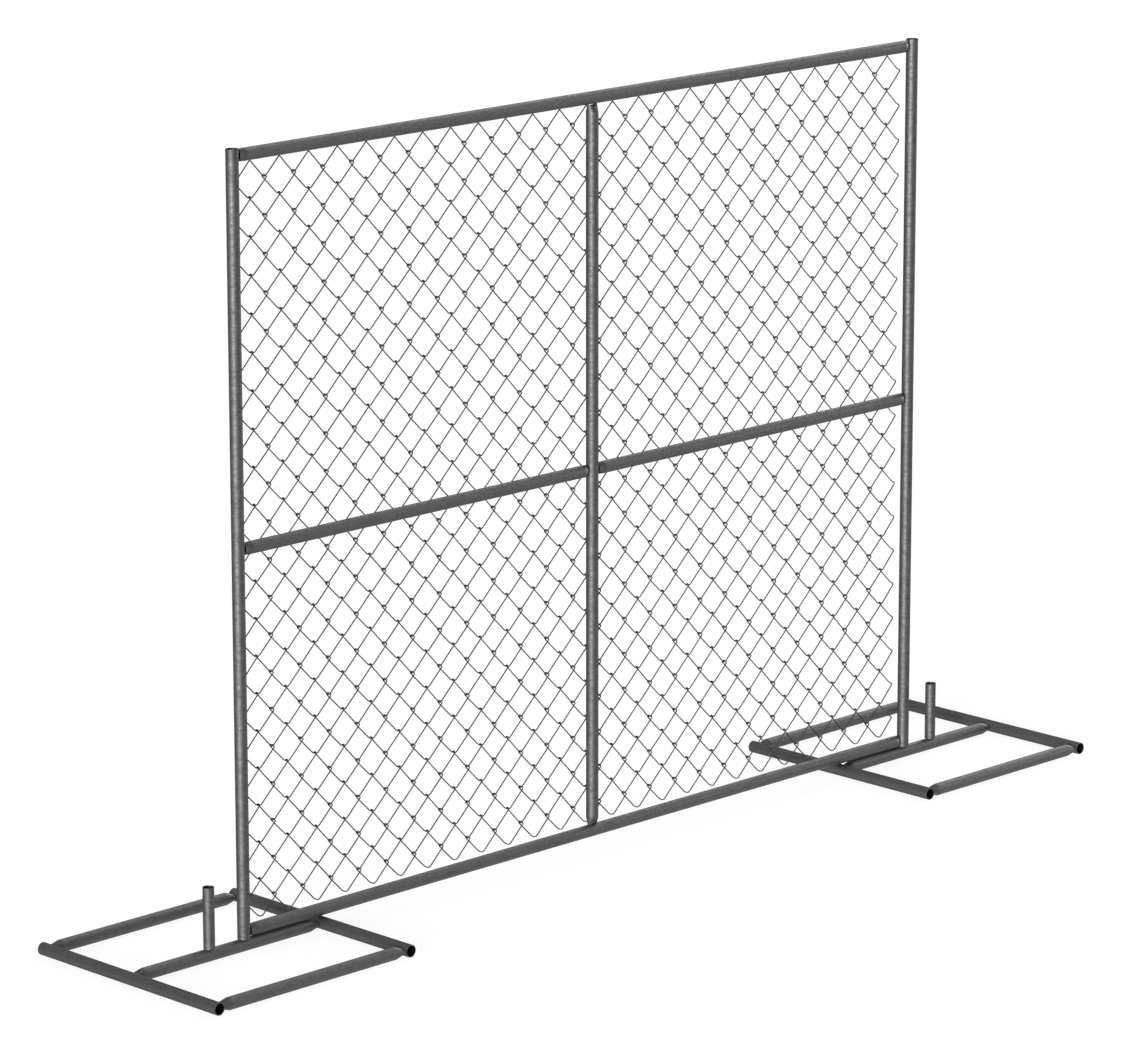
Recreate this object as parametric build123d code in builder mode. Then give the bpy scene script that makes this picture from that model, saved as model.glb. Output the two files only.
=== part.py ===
"""Free-standing chain-link site barrier: a tubular panel carried on two square tubular stands.

Millimetres. +X runs along the panel, +Y is the mesh side of the panel, +Z is up.
The origin is on the ground, midway between the two posts.
"""
import os
from math import pi

from build123d import *

# Tubes
TUBE_OD = 30.0
PANEL_WALL = 1.2
STAND_WALL = 2.0
SPIGOT_WALL = 2.0
SPIGOT_CLEARANCE = 0.3

# Panel frame
PANEL_WIDTH = 2286.0
POST_LENGTH = 1829.0
RAIL_END_GAP = 1.5

# Pinched tube ends, where one tube butts against the side of another
PINCH_LENGTH = 16.5
PINCH_DEPTH = 4.2

# Stands
STAND_WIDTH = 610.0
STAND_DEPTH = 610.0
SPIGOT_LENGTH = 146.0
SPIGOT_PITCH = 105.0

# Chain-link mesh
WIRE_DIAMETER = 3.05
MESH_DIAMOND = 88.0
MESH_SIDE_GAP = 10.5
MESH_TOP_GAP = 2.5
BEND_LAP = 2.5

# Room between a piece and what it stands on, butts against or lies against
SEAT_GAP = 0.3

# Places worked out from the sizes above
TUBE_RADIUS = TUBE_OD / 2
SPIGOT_OD = TUBE_OD - 2 * (PANEL_WALL + SPIGOT_CLEARANCE)
POST_X = (PANEL_WIDTH - TUBE_OD) / 2
POST_BASE = TUBE_OD + SEAT_GAP
POST_TOP = POST_BASE + POST_LENGTH
BOTTOM_RAIL_Z = POST_BASE + RAIL_END_GAP + TUBE_RADIUS
TOP_RAIL_Z = POST_TOP - RAIL_END_GAP - TUBE_RADIUS
MIDDLE_RAIL_Z = (BOTTOM_RAIL_Z + TOP_RAIL_Z) / 2
BUTT = TUBE_RADIUS + SEAT_GAP

STAND_X = POST_X + SPIGOT_PITCH / 2
CROSS_TUBE_OFFSET = (STAND_WIDTH - TUBE_OD) / 2
SIDE_TUBE_OFFSET = (STAND_DEPTH - TUBE_OD) / 2

MESH_LEFT = -POST_X + TUBE_RADIUS + MESH_SIDE_GAP
MESH_WIDTH = -2 * MESH_LEFT
MESH_BOTTOM = BOTTOM_RAIL_Z + TUBE_RADIUS
MESH_HEIGHT = TOP_RAIL_Z - TUBE_RADIUS - MESH_TOP_GAP - MESH_BOTTOM
BENDS = round(MESH_WIDTH / MESH_DIAMOND)
COURSES = round(MESH_HEIGHT / MESH_DIAMOND)
BEND_STEP = MESH_WIDTH / BENDS
COURSE_HEIGHT = MESH_HEIGHT / COURSES

# The wire's three-sided section has the area of the round wire
SECTION_AREA = pi * WIRE_DIAMETER**2 / 4
SECTION_SIDE = (4 * SECTION_AREA / 3**0.5) ** 0.5
SECTION_DEPTH = SECTION_SIDE * 3**0.5 / 2
FRONT_LAYER_Y = TUBE_RADIUS + SEAT_GAP
REAR_LAYER_Y = FRONT_LAYER_Y + 2 * SECTION_DEPTH + SEAT_GAP


def save(piece, name):
    """Label a finished piece and write it to its own file."""
    piece.part.label = name
    export_step(piece.part, f"parts/{name}.step")


def square_cut_tube(base, length, diameter, wall):
    """A round tube that starts on the base plane, square-cut and open at both ends."""
    with BuildPart() as tube:
        with BuildSketch(base):
            Circle(diameter / 2)
            Circle(diameter / 2 - wall, mode=Mode.SUBTRACT)
        extrude(amount=length)
    return tube


def pressed_rod(base, length, inset):
    """A rod that starts on the base plane, inset from the outside of a tube with pressed ends.

    The ends are pressed flatter along the X of the base plane.
    """
    radius = TUBE_RADIUS - inset
    end = radius - PINCH_DEPTH
    clear_of_rod = radius + PINCH_DEPTH
    flank = [
        (0, end),
        (2 * PINCH_LENGTH, clear_of_rod),
        (length - 2 * PINCH_LENGTH, clear_of_rod),
        (length, end),
    ]
    opposite_flank = [(along, -across) for along, across in reversed(flank)]
    with BuildPart() as rod:
        with BuildSketch(base):
            Circle(radius)
        extrude(amount=length)
        with BuildSketch(Plane(base.origin, x_dir=base.z_dir, z_dir=base.y_dir)):
            with BuildLine():
                Polyline(*flank, *opposite_flank, close=True)
            make_face()
        extrude(amount=TUBE_OD, both=True, mode=Mode.INTERSECT)
    return rod


def pinched_tube(base, length, wall):
    """A round tube that starts on the base plane, both its open ends pinched along the plane's X."""
    outside = pressed_rod(base, length, 0)
    bore = pressed_rod(base, length, wall)
    with BuildPart() as tube:
        add(outside.part)
        add(bore.part, mode=Mode.SUBTRACT)
    return tube


def mesh_wire(back_y, ridge_direction, first_bend_z, second_bend_z):
    """One zigzag wire across the panel, its flat back at back_y and its ridge on the side given."""
    end_z = COURSE_HEIGHT / 2
    bends = [
        (MESH_LEFT + BEND_STEP * (bend + 0.5), back_y, (first_bend_z, second_bend_z)[bend % 2])
        for bend in range(BENDS)
    ]
    path_points = [(MESH_LEFT, back_y, end_z), *bends, (-MESH_LEFT, back_y, end_z)]
    first_leg = Vector(path_points[1]) - Vector(path_points[0])
    with BuildPart() as wire:
        with BuildLine():
            path = Polyline(*path_points)
        with BuildSketch(Plane(path_points[0], x_dir=(0, ridge_direction, 0), z_dir=first_leg)):
            with BuildLine():
                Polyline((0, -SECTION_SIDE / 2), (SECTION_DEPTH, 0), (0, SECTION_SIDE / 2), close=True)
            make_face()
        sweep(path=path, transition=Transition.RIGHT)
    return wire


os.makedirs("parts", exist_ok=True)

# Panel frame: two posts, two full-width rails, an upright stiffener and a middle rail in two halves
for side, hand in ((-1, "left"), (1, "right")):
    post_base = Plane((side * POST_X, 0, POST_BASE))
    save(square_cut_tube(post_base, POST_LENGTH, TUBE_OD, PANEL_WALL), f"{hand}_post")

rail_length = 2 * (POST_X - BUTT)
for height, place in ((TOP_RAIL_Z, "top"), (BOTTOM_RAIL_Z, "bottom")):
    rail_base = Plane((BUTT - POST_X, 0, height), x_dir=(0, 1, 0), z_dir=(1, 0, 0))
    save(pinched_tube(rail_base, rail_length, PANEL_WALL), f"{place}_rail")

stiffener_base = Plane((0, 0, BOTTOM_RAIL_Z + BUTT), x_dir=(0, 1, 0), z_dir=(0, 0, 1))
stiffener_length = TOP_RAIL_Z - BOTTOM_RAIL_Z - 2 * BUTT
save(pinched_tube(stiffener_base, stiffener_length, PANEL_WALL), "centre_stiffener")

half_rail_length = POST_X - 2 * BUTT
for start_x, hand in ((BUTT - POST_X, "left"), (BUTT, "right")):
    half_rail_base = Plane((start_x, 0, MIDDLE_RAIL_Z), x_dir=(0, 1, 0), z_dir=(1, 0, 0))
    save(pinched_tube(half_rail_base, half_rail_length, PANEL_WALL), f"{hand}_middle_rail")

# Chain-link mesh: the two wires of a course cross, and meet in a point at both sides of the panel.
# Where two courses meet, a front bend laps over a rear bend.
low_bend = -BEND_LAP
high_bend = COURSE_HEIGHT + BEND_LAP
front_wire = mesh_wire(FRONT_LAYER_Y, 1, low_bend, high_bend)
rear_wire = mesh_wire(REAR_LAYER_Y, -1, high_bend, low_bend)
for course in range(COURSES):
    with BuildPart() as wire_pair:
        with Locations((0, 0, MESH_BOTTOM + COURSE_HEIGHT * course)):
            add(front_wire.part)
            add(rear_wire.part)
    save(wire_pair, f"mesh_wires_{course + 1:02d}")

# Stands: two open-ended cross tubes, three side tubes between them and two upright spigots
side_tube_length = 2 * (CROSS_TUBE_OFFSET - BUTT)
for side, hand in ((-1, "left"), (1, "right")):
    stand_x = side * STAND_X
    for direction, place in ((1, "outer"), (-1, "inner")):
        cross_x = stand_x + side * direction * CROSS_TUBE_OFFSET
        cross_base = Plane((cross_x, -STAND_DEPTH / 2, TUBE_RADIUS), x_dir=(0, 0, 1), z_dir=(0, 1, 0))
        save(square_cut_tube(cross_base, STAND_DEPTH, TUBE_OD, STAND_WALL), f"{hand}_{place}_cross_tube")

    side_start = stand_x - CROSS_TUBE_OFFSET + BUTT
    for offset, place in ((-SIDE_TUBE_OFFSET, "front"), (0, "middle"), (SIDE_TUBE_OFFSET, "rear")):
        side_base = Plane((side_start, offset, TUBE_RADIUS), x_dir=(0, 0, 1), z_dir=(1, 0, 0))
        save(pinched_tube(side_base, side_tube_length, STAND_WALL), f"{hand}_{place}_side_tube")

    for distance, place in ((0, "post"), (SPIGOT_PITCH, "spare")):
        spigot_base = Plane((side * (POST_X + distance), 0, POST_BASE))
        save(square_cut_tube(spigot_base, SPIGOT_LENGTH, SPIGOT_OD, SPIGOT_WALL), f"{hand}_{place}_spigot")
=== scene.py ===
"""Looks of the chain-link site barrier: galvanised tubes, linked mesh wires, floor, light and camera."""
import math
from collections import namedtuple

import bpy
from mathutils import Matrix, Vector
from mathutils.geometry import interpolate_bezier


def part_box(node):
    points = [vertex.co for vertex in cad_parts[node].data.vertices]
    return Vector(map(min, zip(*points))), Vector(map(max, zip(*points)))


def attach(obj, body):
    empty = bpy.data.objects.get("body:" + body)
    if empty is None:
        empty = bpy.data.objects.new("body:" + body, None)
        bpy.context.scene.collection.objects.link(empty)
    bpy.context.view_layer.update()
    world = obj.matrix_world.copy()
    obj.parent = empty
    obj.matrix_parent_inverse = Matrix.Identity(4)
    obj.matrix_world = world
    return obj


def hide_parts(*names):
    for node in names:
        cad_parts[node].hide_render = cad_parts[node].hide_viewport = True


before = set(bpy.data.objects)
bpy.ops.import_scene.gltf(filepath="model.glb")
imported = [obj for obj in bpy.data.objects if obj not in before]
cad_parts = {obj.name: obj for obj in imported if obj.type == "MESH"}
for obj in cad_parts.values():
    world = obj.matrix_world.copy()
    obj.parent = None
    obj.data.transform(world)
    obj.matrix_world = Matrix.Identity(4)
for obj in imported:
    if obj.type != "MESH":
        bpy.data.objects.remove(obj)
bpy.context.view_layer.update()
scene = bpy.context.scene

MM = 0.001

# Tubes
PANEL_WALL = 1.2 * MM
STAND_WALL = 2.0 * MM
TUBE_SIDES = 64
ALONG_X = (1, 0, 0)
ALONG_Y = (0, 1, 0)
ALONG_Z = (0, 0, 1)

# Pinched tube ends: drawn in all round to an oval, its rim pulled back on the two pressed sides
Pinch = namedtuple("Pinch", "length thickness width recess")
RAIL_PINCH = Pinch(18.0 * MM, 16.0 * MM, 28.4 * MM, 3.3 * MM)
SIDE_TUBE_PINCH = Pinch(23.0 * MM, 15.2 * MM, 28.4 * MM, 2.2 * MM)
CREASE = 1.2 * MM
RIM_ROUND = 0.35 * MM

# Mesh wires
WIRE_RADIUS = 1.525 * MM
WIRE_SIDES = 8
COURSES = 20
COLUMNS = 50
MESH_HALF_WIDTH = 1102.5 * MM
MESH_X = 1.6 * MM
MESH_Y = 23.45 * MM
FIRST_ROW_Z = 63.7 * MM
COURSE_HEIGHT = 88.08 * MM

# Bends of the mesh wires: the crown's height from its row, the legs' distance from the middle layer,
# half the distance between the legs, and the height of the arch
Bend = namedtuple("Bend", "crown depth spread arch")
LOWER_FOOT = Bend(-1.3 * MM, 4.7 * MM, 5.75 * MM, 3.89 * MM)
LOWER_LOOP = Bend(2.75 * MM, 6.6 * MM, 0.7 * MM, 6.15 * MM)
UPPER_FOOT = Bend(-1.2 * MM, 1.25 * MM, 7.35 * MM, 5.9 * MM)
UPPER_LOOP = Bend(2.55 * MM, 6.3 * MM, 5.5 * MM, 5.62 * MM)
LEG_SLOPE = 0.95
# Pulls that round a bend: along its legs, in shares of its arch, and over its crown, of its depth
LEG_PULL = 0.55
CROWN_PULL = 0.75
BEND_POINTS = 6
UP = 1
DOWN = -1

# Tips, where the two wires of a course join at the sides of the panel: the distance out from the mesh's
# side, the layer from -1 at the front to 1 at the rear, and the height, which is turned over on the left
Tip = namedtuple("Tip", "out layer height")
TIP_FRONT = Tip(-0.9 * MM, -1, -1.6 * MM)
TIP_CROWN = Tip(1.2 * MM, 0, 1.3 * MM)
TIP_REAR = Tip(-1.1 * MM, 1, 4.3 * MM)
TIP_DEPTH = 5.5 * MM
TIP_LEG_PULL = 0.25

# Galvanised finishes: the dark and pale greys of the coat, its grey at glancing angles, the stretch and
# scale of the drawn bands, the scale of the spangle, and the grey of the painted shade inside a tube
Zinc = namedtuple("Zinc", "dark pale glancing band_stretch band_scale spangle_scale bore")
UPRIGHT_ZINC = Zinc(0.073, 0.125, 0.35, (0.3, 0.3, 1.0), 200.0, 150.0, 0.05)
RAIL_ZINC = Zinc(0.085, 0.111, 1.0, (0.35, 1.0, 1.0), 200.0, 150.0, 0.012)
CROSS_ZINC = Zinc(0.085, 0.111, 0.5, (1.0, 0.35, 1.0), 190.0, 140.0, 0.012)
SPIGOT_ZINC = Zinc(0.073, 0.124, 0.35, (0.3, 0.3, 1.0), 200.0, 160.0, 0.05)
WIRE_ZINC = Zinc(0.055, 0.08, 0.35, (1.0, 1.0, 1.0), 260.0, 400.0, None)
ZINC_ROUGHNESS = 0.56
ZINC_BLUE = 1.02
TONE_RANGE = (0.38, 0.62)
RELIEF_STRENGTH = 0.2
RELIEF_DEPTH = 0.4 * MM

# Layers of the coat: their shares of its tone, their scale and detail, and the bands' roughness shift
BAND_SHARE = 0.46
BLOTCH_SHARE = 0.2
CRYSTAL_SHARE = 0.12
GRAIN_SHARE = 0.22
BAND_DETAIL = 4.0
BLOTCH_SCALE = 42.0
BLOTCH_DETAIL = 4.0
GRAIN_SCALE = 600.0
GRAIN_DETAIL = 3.0
NOISE_ROUGHNESS = 0.6
SPANGLE_SMOOTHNESS = 0.4
CRYSTAL_RISE = 0.3
DARK_BAND = 0.3
PALE_BAND = 0.7
DARK_BAND_ROUGHNESS = 0.07
PALE_BAND_ROUGHNESS = -0.06

# Painted shade on the pressed ends and in the corners where pieces meet: none where a corner is this open,
# full where it is this tight
PRESSED_MASK = "pressed_end"
PRESSED_END_SHADE = (0.083, 0.083, 0.085, 1)
CORNER_SHADE_COLOUR = (0.012, 0.012, 0.012, 1)
CORNER_SHADE_REACH = 5 * MM
CORNER_SHADE_SAMPLES = 8
OPEN_CORNER = 0.5
TIGHT_CORNER = 0.1

# Sockets of a colour Mix node
MIX_UNDER = 6
MIX_OVER = 7
MIX_RESULT = 2

# Studio: far soft lights, in degrees, a ceiling of light that fades towards the horizon, and a pale floor
SoftLight = namedtuple("SoftLight", "azimuth elevation spread strength")
KEY_LIGHT = SoftLight(207, 8, 15, 6.5)
SIDE_LIGHT = SoftLight(350, 7, 16, 2.0)
BACK_LIGHT = SoftLight(20, 24, 32, 1.35)
CEILING_EDGE = 0.127
CEILING_MIDDLE = 0.735
CEILING_STRENGTH = 0.95
WHITE = (1, 1, 1, 1)
FLOOR_HALF_SIZE = 60.0
FLOOR_COLOUR = (0.11, 0.11, 0.11, 1)
FLOOR_GLOW = 0.88

# Camera, solved from the tube edges in the photograph: pixels, metres and radians
IMAGE_WIDTH = 1125.0
IMAGE_HEIGHT = 1056.0
FOCAL_PIXELS = 5538.84
PRINCIPAL_POINT = (568.506, 495.007)
CAMERA_PLACE = (-9.1210, -9.0953, 3.9547)
CAMERA_YAW = 0.78241
CAMERA_PITCH = 0.23417
CAMERA_ROLL = 0.00101
SENSOR_WIDTH = 36.0
CAMERA_REACH = 200.0


def node(tree, kind, inputs=None, **settings):
    """Add a shader node, set its properties, and link or set its inputs."""
    made = tree.nodes.new("ShaderNode" + kind)
    for key, value in settings.items():
        setattr(made, key, value)
    for key, value in (inputs or {}).items():
        if isinstance(value, bpy.types.NodeSocket):
            tree.links.new(value, made.inputs[key])
        else:
            made.inputs[key].default_value = value
    return made


def arithmetic(tree, operation, first, second):
    """One step of arithmetic on two values."""
    return node(tree, "Math", {0: first, 1: second}, operation=operation).outputs[0]


def noise(tree, place, scale, detail):
    """Soft noise over a surface."""
    made = node(tree, "TexNoise", {"Vector": place, "Scale": scale, "Detail": detail,
                                   "Roughness": NOISE_ROUGHNESS})
    return made.outputs["Fac"]


def coloured_over(tree, mask, under, over):
    """One colour laid over another where a mask is white."""
    made = node(tree, "Mix", {"Factor": mask, MIX_UNDER: under, MIX_OVER: over}, data_type="RGBA")
    return made.outputs[MIX_RESULT]


def new_group(name, inputs, outputs):
    """An empty node group; its inputs and outputs are given as names with their kinds."""
    tree = bpy.data.node_groups.new(name, "ShaderNodeTree")
    for side, sockets in (("INPUT", inputs), ("OUTPUT", outputs)):
        for socket_name, kind in sockets.items():
            tree.interface.new_socket(name=socket_name, in_out=side, socket_type="NodeSocket" + kind)
    return tree


def put_out(tree, results):
    """Link values to the outputs of a node group."""
    end = tree.nodes.new("NodeGroupOutput")
    for name, value in results.items():
        tree.links.new(value, end.inputs[name])


def zinc_skin_group():
    """Galvanised skin: drawn bands, blotches, spangle and grain, as tone, roughness shift and height."""
    tree = new_group(
        "zinc_skin",
        inputs={"Band Stretch": "Vector", "Band Scale": "Float", "Spangle Scale": "Float"},
        outputs={"Tone": "Float", "Roughness Shift": "Float", "Height": "Float"},
    )
    given = tree.nodes.new("NodeGroupInput").outputs
    place = node(tree, "TexCoord").outputs["Object"]
    stretched = node(tree, "VectorMath", {0: place, 1: given["Band Stretch"]}, operation="MULTIPLY")
    band = noise(tree, stretched.outputs[0], given["Band Scale"], BAND_DETAIL)
    blotch = noise(tree, place, BLOTCH_SCALE, BLOTCH_DETAIL)
    spangle = node(tree, "TexVoronoi", {"Vector": place, "Scale": given["Spangle Scale"],
                                        "Smoothness": SPANGLE_SMOOTHNESS}, feature="SMOOTH_F1")
    crystal = node(tree, "SeparateColor", {"Color": spangle.outputs["Color"]})
    grain = noise(tree, place, GRAIN_SCALE, GRAIN_DETAIL)
    tone = arithmetic(tree, "MULTIPLY", band, BAND_SHARE)
    for layer, share in (
        (blotch, BLOTCH_SHARE),
        (crystal.outputs["Red"], CRYSTAL_SHARE),
        (grain, GRAIN_SHARE),
    ):
        tone = arithmetic(tree, "ADD", tone, arithmetic(tree, "MULTIPLY", layer, share))
    shift = node(tree, "MapRange", {"Value": band, "From Min": DARK_BAND, "From Max": PALE_BAND,
                                    "To Min": DARK_BAND_ROUGHNESS, "To Max": PALE_BAND_ROUGHNESS})
    rise = arithmetic(tree, "MULTIPLY", crystal.outputs["Green"], CRYSTAL_RISE)
    height = arithmetic(tree, "ADD", rise, tone)
    put_out(tree, {"Tone": tone, "Roughness Shift": shift.outputs["Result"], "Height": height})
    return tree


def bore_mask_group():
    """White on the inside wall of a tube, black on its outside and its cut ends."""
    tree = new_group("bore_mask", inputs={}, outputs={"Bore": "Float"})
    place = node(tree, "TexCoord").outputs
    box_middle = (0.5, 0.5, 0.5)
    outward = node(tree, "VectorMath", {0: place["Generated"], 1: box_middle}, operation="SUBTRACT")
    facing = node(tree, "VectorMath", {0: outward.outputs[0], 1: place["Normal"]}, operation="DOT_PRODUCT")
    put_out(tree, {"Bore": arithmetic(tree, "LESS_THAN", facing.outputs["Value"], 0.0)})
    return tree


def corner_shade_group():
    """A mask for painted shade: white in the tight corners where pieces meet, black in the open."""
    tree = new_group("painted_corner_shade", inputs={}, outputs={"Corner Shade": "Float"})
    openness = node(tree, "AmbientOcclusion", {"Distance": CORNER_SHADE_REACH}, samples=CORNER_SHADE_SAMPLES)
    corner_shading = node(tree, "MapRange", {"Value": openness.outputs["AO"], "From Min": OPEN_CORNER,
                                    "From Max": TIGHT_CORNER, "To Min": 0.0, "To Max": 1.0})
    put_out(tree, {"Corner Shade": corner_shading.outputs["Result"]})
    return tree


ZINC_SKIN = zinc_skin_group()
BORE_MASK = bore_mask_group()
# Mask of the painted shade in tight corners
CORNER_SHADE_MASK = corner_shade_group()


def new_material(name):
    """An empty node material with its output node."""
    made = bpy.data.materials.new(name)
    made.use_nodes = True
    made.node_tree.nodes.clear()
    return made, made.node_tree, node(made.node_tree, "OutputMaterial")


def tube_colour(tree, coat, bore_shade_grey):
    """The coat of a tube, with painted shade on its pressed ends, inside its bore, and in the corners."""
    # Painted shade on the pressed ends, a little darker than the coat
    pressed = node(tree, "Attribute", attribute_name=PRESSED_MASK).outputs["Fac"]
    end_shaded = coloured_over(tree, pressed, coat, PRESSED_END_SHADE)
    # Painted shade on the inside wall of a tube
    bore = node(tree, "Group", node_tree=BORE_MASK).outputs["Bore"]
    darkened = coloured_over(tree, bore, end_shaded, (bore_shade_grey, bore_shade_grey, bore_shade_grey, 1))
    # Painted shade, near black, in the tight corners where pieces meet
    corner_shading = node(tree, "Group", node_tree=CORNER_SHADE_MASK).outputs["Corner Shade"]
    return coloured_over(tree, corner_shading, darkened, CORNER_SHADE_COLOUR)


def zinc_material(name, zinc):
    """Galvanised steel, its tone between a dark and a pale grey; a tube also gets painted shade in its
    bore, on its pressed ends and in its corners.
    """
    made, tree, output = new_material(name)
    skin = node(tree, "Group", {"Band Stretch": zinc.band_stretch, "Band Scale": zinc.band_scale,
                                "Spangle Scale": zinc.spangle_scale}, node_tree=ZINC_SKIN).outputs
    ramp = node(tree, "ValToRGB", {"Fac": skin["Tone"]})
    for element, position, grey in zip(ramp.color_ramp.elements, TONE_RANGE, (zinc.dark, zinc.pale)):
        element.position = position
        element.color = (grey, grey, grey * ZINC_BLUE, 1)
    colour = ramp.outputs["Color"]
    # A tube gets painted shade on its pressed ends, inside its bore and in its corners
    if zinc.bore is not None:
        colour = tube_colour(tree, colour, zinc.bore)
    relief = node(tree, "Bump", {"Height": skin["Height"], "Strength": RELIEF_STRENGTH,
                                 "Distance": RELIEF_DEPTH})
    metal = node(tree, "BsdfPrincipled", {
        "Base Color": colour,
        "Metallic": 1.0,
        "Roughness": arithmetic(tree, "ADD", skin["Roughness Shift"], ZINC_ROUGHNESS),
        "Specular Tint": (zinc.glancing, zinc.glancing, zinc.glancing, 1),
        "Normal": relief.outputs["Normal"],
    })
    tree.links.new(metal.outputs[0], output.inputs["Surface"])
    return made


def dress(piece, material):
    """Give a piece one material."""
    piece.data.materials.clear()
    piece.data.materials.append(material)


def new_piece(name, vertices, faces, material):
    """A smooth-shaded mesh object in the scene."""
    mesh = bpy.data.meshes.new(name)
    mesh.from_pydata(vertices, [], faces)
    mesh.validate()
    mesh.shade_smooth()
    piece = bpy.data.objects.new(name, mesh)
    scene.collection.objects.link(piece)
    dress(piece, material)
    return piece


def ring_faces(rings, sides):
    """Faces between rings of vertices, the last ring joined to the first."""
    faces = []
    for ring in range(rings):
        here = ring * sides
        ahead = (ring + 1) % rings * sides
        for side in range(sides):
            beside = (side + 1) % sides
            faces.append((here + side, ahead + side, ahead + beside, here + beside))
    return faces


def pinched_end(pinch_length, wall):
    """Stations from inside a pinched end, over its rim, to the round: (distance from the end, inset)."""
    places = (
        RIM_ROUND,
        3 * RIM_ROUND,
        pinch_length - CREASE,
        pinch_length + CREASE,
        pinch_length + 3 * CREASE,
    )
    inside = [(place, wall) for place in reversed(places)]
    rim = [(0, wall - RIM_ROUND), (0, RIM_ROUND)]
    return inside + rim + [(place, 0) for place in places]


def pinched_tube(name, node_name, along, press, pinch, wall, material):
    """A round tube in the place of a node, its two open ends pinched."""
    low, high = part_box(node_name)
    middle = (low + high) / 2
    axis = Vector(along)
    thick = Vector(press)
    wide = axis.cross(thick)
    length = abs((high - low).dot(axis))
    radius = abs((high - low).dot(thick)) / 2
    near = pinched_end(pinch.length, wall)
    stations = [(-1, place, inset) for place, inset in near]
    stations += [(1, place, inset) for place, inset in reversed(near)]
    vertices = []
    pressed = []
    for end, place, inset in stations:
        share = max(1 - place / pinch.length, 0)
        pressed += [1.0 if share else 0.0] * TUBE_SIDES
        half_thick = radius - (radius - pinch.thickness / 2) * share - inset
        half_wide = radius - (radius - pinch.width / 2) * share - inset
        for side in range(TUBE_SIDES):
            turn = 2 * math.pi * side / TUBE_SIDES
            offset = end * (length / 2 - place - pinch.recess * share * math.cos(turn) ** 2)
            vertices.append(middle + axis * offset + thick * (half_thick * math.cos(turn))
                            + wide * (half_wide * math.sin(turn)))
    piece = new_piece(name, vertices, ring_faces(len(stations), TUBE_SIDES), material)
    # Marks the pressed ends, where shade is painted
    mask = piece.data.attributes.new(PRESSED_MASK, "FLOAT", "POINT")
    mask.data.foreach_set("value", pressed)
    return piece


def bend_points(bend, x, row_z, rise, starts_in_front):
    """Points of one bend, which carries a wire from the front layer of the mesh to the rear, or back.

    rise is UP or DOWN, the way that the bend points.
    """
    first = -1 if starts_in_front else 1
    crown = Vector((x, MESH_Y, row_z + bend.crown))
    drop = Vector((0, 0, -rise * bend.arch))
    start = crown + drop + Vector((-bend.spread, first * bend.depth, 0))
    end = crown + drop + Vector((bend.spread, -first * bend.depth, 0))
    leg_pull = LEG_PULL * bend.arch / LEG_SLOPE
    leg_in = Vector((leg_pull, 0, rise * LEG_SLOPE * leg_pull))
    leg_out = Vector((leg_pull, 0, -rise * LEG_SLOPE * leg_pull))
    over = Vector((0, -first * CROWN_PULL * bend.depth, 0))
    half_in = interpolate_bezier(start, start + leg_in, crown - over, crown, BEND_POINTS)
    half_out = interpolate_bezier(crown, crown + over, end - leg_out, end, BEND_POINTS)
    return half_in + half_out[1:]


def tip_points(side, row_z):
    """Points where the wires of a course join, front to rear; side is 1 on the right and -1 on the left."""
    places = []
    for tip in (TIP_FRONT, TIP_CROWN, TIP_REAR):
        x = MESH_X + side * (MESH_HALF_WIDTH + tip.out)
        places.append(Vector((x, MESH_Y + tip.layer * TIP_DEPTH, row_z + side * tip.height)))
    front, crown, rear = places
    over = Vector((0, CROWN_PULL * TIP_DEPTH, 0))
    leg = Vector((0, TIP_LEG_PULL * TIP_DEPTH, 0))
    half_in = interpolate_bezier(front, front + leg, crown - over, crown, BEND_POINTS)
    half_out = interpolate_bezier(crown, crown + over, rear - leg, rear, BEND_POINTS)
    return half_in + half_out[1:]


def course_path(course):
    """The closed path of one course: out along its lower wire and back along its upper wire."""
    low_row = FIRST_ROW_Z + COURSE_HEIGHT * course
    middle_row = low_row + COURSE_HEIGHT / 2
    high_row = low_row + COURSE_HEIGHT
    column_step = 2 * MESH_HALF_WIDTH / COLUMNS
    lower = []
    upper = []
    for column in range(1, COLUMNS):
        x = MESH_X - MESH_HALF_WIDTH + column_step * column
        if column % 2:
            lower += bend_points(LOWER_FOOT, x, low_row, DOWN, starts_in_front=False)
            upper += bend_points(UPPER_LOOP, x, high_row, UP, starts_in_front=True)
        else:
            lower += bend_points(LOWER_LOOP, x, middle_row, UP, starts_in_front=True)
            upper += bend_points(UPPER_FOOT, x, middle_row, DOWN, starts_in_front=False)
    return lower + tip_points(1, middle_row) + upper[::-1] + tip_points(-1, middle_row)


def round_wire(path):
    """Vertices and faces of a round wire along a closed path, its rings turned evenly so that it closes."""
    count = len(path)
    points_ahead = path[1:] + path[:1]
    points_behind = path[-1:] + path[:-1]
    directions = [(ahead - behind).normalized() for ahead, behind in zip(points_ahead, points_behind)]
    sideways = [directions[0].orthogonal().normalized()]
    for direction in directions[1:] + directions[:1]:
        carried = sideways[-1] - direction * sideways[-1].dot(direction)
        sideways.append(carried.normalized())
    upward = directions[0].cross(sideways[0])
    twist = math.atan2(sideways[-1].dot(upward), sideways[-1].dot(sideways[0]))
    vertices = []
    for step, (centre, direction, across) in enumerate(zip(path, directions, sideways)):
        other = direction.cross(across)
        for side in range(WIRE_SIDES):
            turn = 2 * math.pi * side / WIRE_SIDES - twist * step / count
            vertices.append(centre + (across * math.cos(turn) + other * math.sin(turn)) * WIRE_RADIUS)
    return vertices, ring_faces(count, WIRE_SIDES)


def wire_course(course, material):
    """One course of the mesh: two zigzag wires, linked to the courses beside them, joined at both sides."""
    vertices, faces = round_wire(course_path(course))
    piece = new_piece(f"chain_link_course_{course + 1:02d}", vertices, faces, material)
    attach(piece, "panel")
    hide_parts(f"mesh_wires_{course + 1:02d}")


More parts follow.
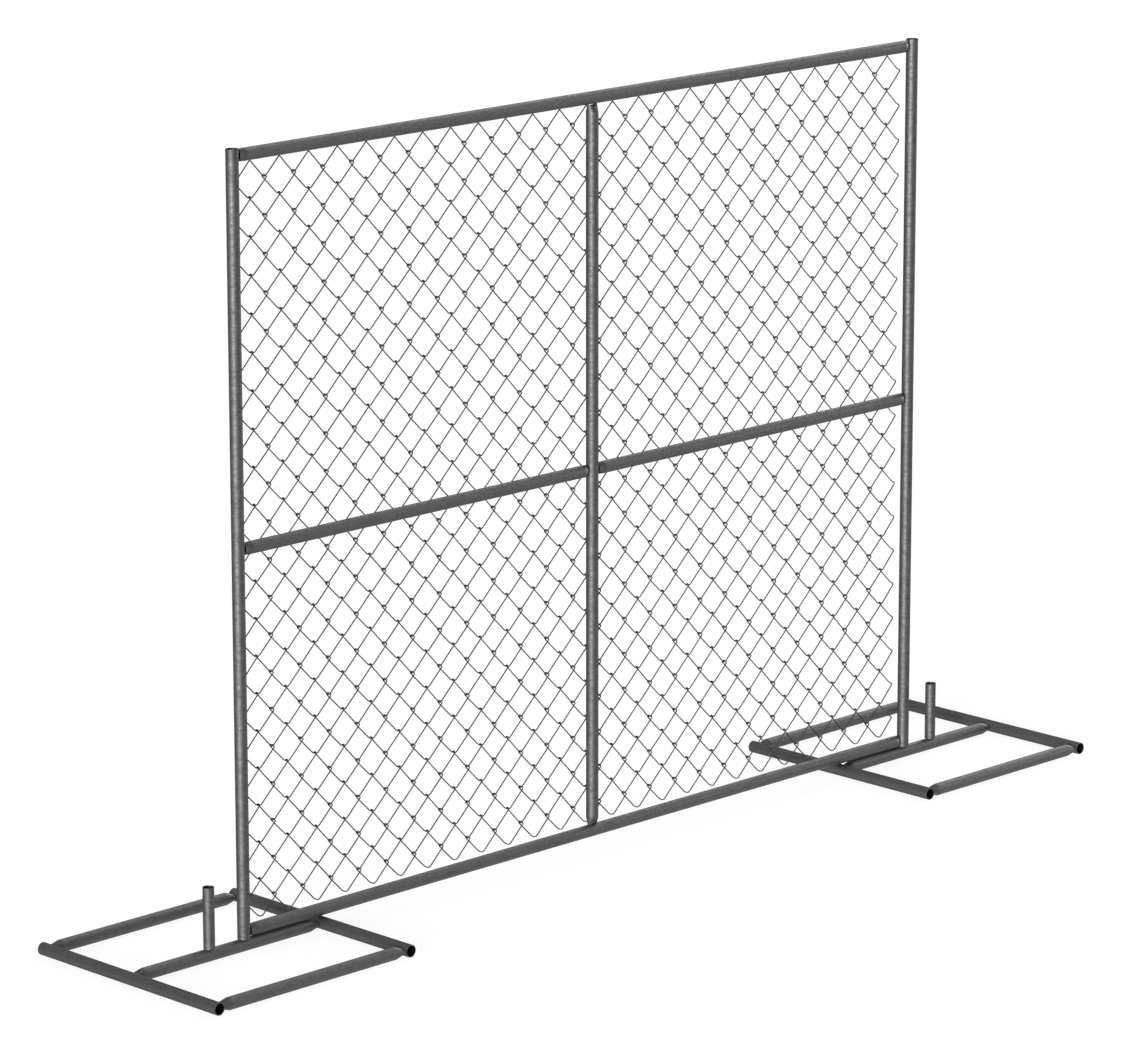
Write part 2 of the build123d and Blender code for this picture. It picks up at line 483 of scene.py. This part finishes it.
def floor_material():
    """Matt floor with the object's shadow on it, lifted to white for the camera and for reflections."""
    made, tree, output = new_material("studio_floor")
    matt = node(tree, "BsdfDiffuse", {"Color": FLOOR_COLOUR})
    ray = node(tree, "LightPath").outputs
    seen = arithmetic(tree, "MAXIMUM", ray["Is Camera Ray"], ray["Is Glossy Ray"])
    seen = arithmetic(tree, "MAXIMUM", seen, ray["Is Transmission Ray"])
    strength = arithmetic(tree, "MULTIPLY", seen, FLOOR_GLOW)
    glow = node(tree, "Emission", {"Color": WHITE, "Strength": strength})
    both = node(tree, "AddShader", {0: matt.outputs[0], 1: glow.outputs[0]})
    tree.links.new(both.outputs[0], output.inputs["Surface"])
    return made


def floor():
    """A wide pale floor that keeps a faint shadow and reads as white."""
    half = FLOOR_HALF_SIZE
    corners = [(-half, -half, 0), (half, -half, 0), (half, half, 0), (-half, half, 0)]
    piece = new_piece("floor", corners, [(0, 1, 2, 3)], floor_material())


def soft_light(name, light):
    """A soft light far away, in the given direction from the barrier; azimuth runs from +X to +Y."""
    lamp = bpy.data.lights.new(name, "SUN")
    lamp.energy = light.strength
    lamp.angle = math.radians(light.spread)
    holder = bpy.data.objects.new(name, lamp)
    scene.collection.objects.link(holder)
    turn = math.radians(light.azimuth)
    lift = math.radians(light.elevation)
    towards = Vector((math.cos(turn) * math.cos(lift), math.sin(turn) * math.cos(lift), math.sin(lift)))
    holder.rotation_euler = towards.to_track_quat("Z", "Y").to_euler()


def studio_surround():
    """A soft ceiling of light that fades out towards the horizon."""
    world = bpy.data.worlds.new("studio_surround")
    scene.world = world
    world.use_nodes = True
    tree = world.node_tree
    direction = node(tree, "SeparateXYZ", {0: node(tree, "TexCoord").outputs["Generated"]})
    ceiling = node(tree, "MapRange", {
        "Value": direction.outputs["Z"],
        "From Min": CEILING_EDGE,
        "From Max": CEILING_MIDDLE,
        "To Min": 0.0,
        "To Max": CEILING_STRENGTH,
    })
    background = tree.nodes["Background"]
    background.inputs["Color"].default_value = WHITE
    tree.links.new(ceiling.outputs["Result"], background.inputs["Strength"])


def studio_light():
    """A low light left of the camera, a small one on the right, a wide one behind on the right."""
    soft_light("key_light", KEY_LIGHT)
    soft_light("side_light", SIDE_LIGHT)
    soft_light("back_light", BACK_LIGHT)
    studio_surround()


def camera():
    """The camera of the photograph."""
    data = bpy.data.cameras.new("camera")
    data.sensor_fit = "HORIZONTAL"
    data.sensor_width = SENSOR_WIDTH
    data.lens = FOCAL_PIXELS / IMAGE_WIDTH * SENSOR_WIDTH
    data.shift_x = (IMAGE_WIDTH / 2 - PRINCIPAL_POINT[0]) / IMAGE_WIDTH
    data.shift_y = (PRINCIPAL_POINT[1] - IMAGE_HEIGHT / 2) / IMAGE_WIDTH
    data.clip_end = CAMERA_REACH
    holder = bpy.data.objects.new("camera", data)
    scene.collection.objects.link(holder)
    flat = math.cos(CAMERA_PITCH)
    ahead = Vector((math.sin(CAMERA_YAW) * flat, math.cos(CAMERA_YAW) * flat, -math.sin(CAMERA_PITCH)))
    level = Vector((math.cos(CAMERA_YAW), -math.sin(CAMERA_YAW), 0))
    right = Matrix.Rotation(CAMERA_ROLL, 3, ahead) @ level
    up = right.cross(ahead)
    turned = Matrix((right, up, -ahead)).transposed().to_4x4()
    holder.matrix_world = Matrix.Translation(CAMERA_PLACE) @ turned
    scene.camera = holder


upright_zinc = zinc_material("upright_tube_zinc", UPRIGHT_ZINC)
rail_zinc = zinc_material("rail_tube_zinc", RAIL_ZINC)
cross_zinc = zinc_material("cross_tube_zinc", CROSS_ZINC)
spigot_zinc = zinc_material("spigot_tube_zinc", SPIGOT_ZINC)
wire_zinc = zinc_material("mesh_wire_zinc", WIRE_ZINC)

# Straight tubes keep their CAD shape
for hand in ("left", "right"):
    dress(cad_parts[f"{hand}_post"], upright_zinc)
    for place in ("outer", "inner"):
        dress(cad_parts[f"{hand}_{place}_cross_tube"], cross_zinc)
    for place in ("post", "spare"):
        dress(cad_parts[f"{hand}_{place}_spigot"], spigot_zinc)

# Pinched tubes of the panel
for name, along, finish in (
    ("top_rail", ALONG_X, rail_zinc),
    ("bottom_rail", ALONG_X, rail_zinc),
    ("centre_stiffener", ALONG_Z, upright_zinc),
    ("left_middle_rail", ALONG_X, rail_zinc),
    ("right_middle_rail", ALONG_X, rail_zinc),
):
    tube = pinched_tube(f"{name}_tube", name, along, ALONG_Y, RAIL_PINCH, PANEL_WALL, finish)
    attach(tube, "panel")
    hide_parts(name)

# Pinched tubes of the stands
for hand in ("left", "right"):
    for place in ("front", "middle", "rear"):
        name = f"{hand}_{place}_side_tube"
        tube = pinched_tube(f"{name}_pressed", name, ALONG_X, ALONG_Z, SIDE_TUBE_PINCH, STAND_WALL,
                            rail_zinc)
        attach(tube, f"{hand}_stand")
        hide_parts(name)

# Chain-link mesh
for course in range(COURSES):
    wire_course(course, wire_zinc)

# Studio
floor()
studio_light()
camera()
scene.view_settings.view_transform = "Standard"
